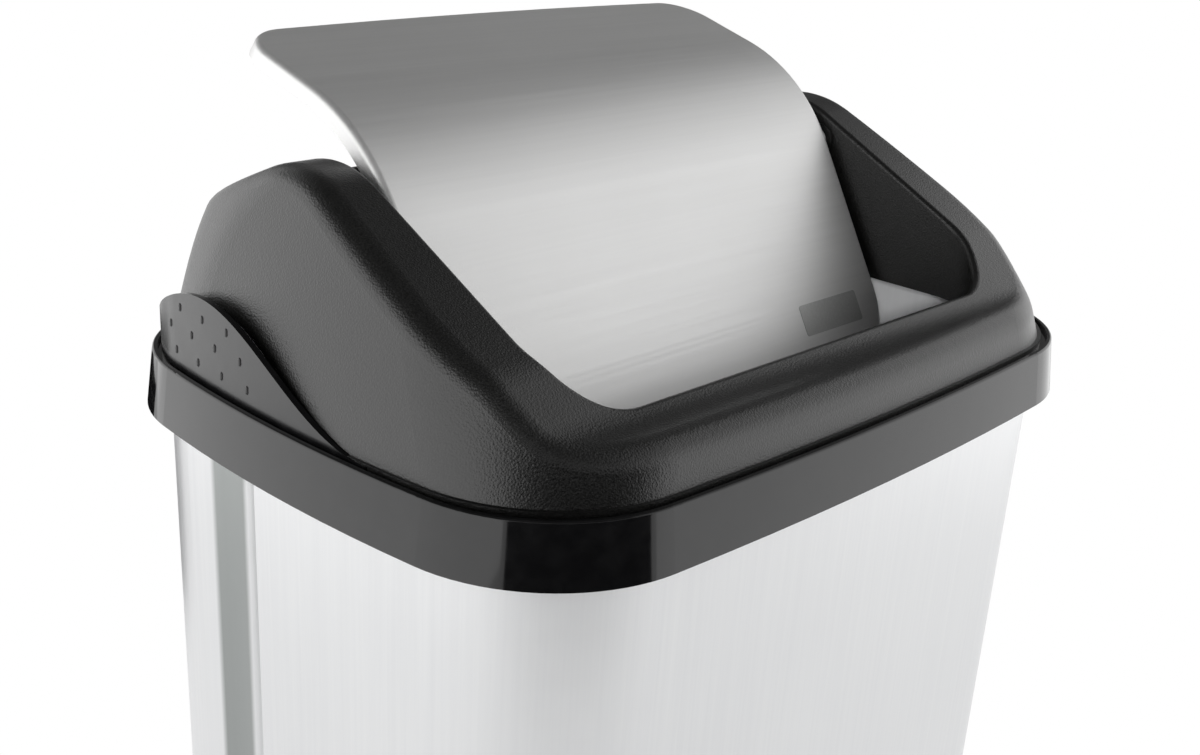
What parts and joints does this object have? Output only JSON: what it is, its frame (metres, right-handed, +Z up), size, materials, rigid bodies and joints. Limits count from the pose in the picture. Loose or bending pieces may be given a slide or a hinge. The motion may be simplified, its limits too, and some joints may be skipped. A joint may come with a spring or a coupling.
{
  "type": "swing-lid trash can",
  "caption": "Tall free-standing waste bin with a tapered body, a lift-off hooded lid and a bent flap that swings both ways on pins.",
  "frame": {"origin": "on the floor, under the middle of the body", "axes": "+Z up, +X along the wide front, -Y out of the front with the low rail"},
  "size_m": [0.4114, 0.3064, 0.7202],
  "materials": {
    "body": "smooth satin silver",
    "collar": "polished black",
    "hood": "fine-grained matt black",
    "flap": "brushed silver",
    "tab": "polished black",
    "pin": "natural nylon",
    "bush": "plain black",
    "bumper": "soft black"
  },
  "bodies": {
    "bin": {"bin_body": "body"},
    "lid": {"collar": "collar", "hood": "hood", "grip_tab_left": "tab", "grip_tab_right": "tab", "pivot_bush_left": "bush", "pivot_bush_right": "bush"},
    "flap": {"flap": "flap", "pivot_pin_left": "pin", "pivot_pin_right": "pin", "flap_bumper_left": "bumper", "flap_bumper_right": "bumper"}
  },
  "joints": [
    {"name": "lid_lift", "type": "slide", "parent": "bin", "child": "lid", "axis": [0, 0, 1], "range_m": [0, 0.25]},
    {"name": "flap_swing", "type": "hinge", "parent": "lid", "child": "flap", "pos_m": [0, 0.0042, 0.66], "axis": [1, 0, 0], "range_deg": [-93, 17]}
  ]
}
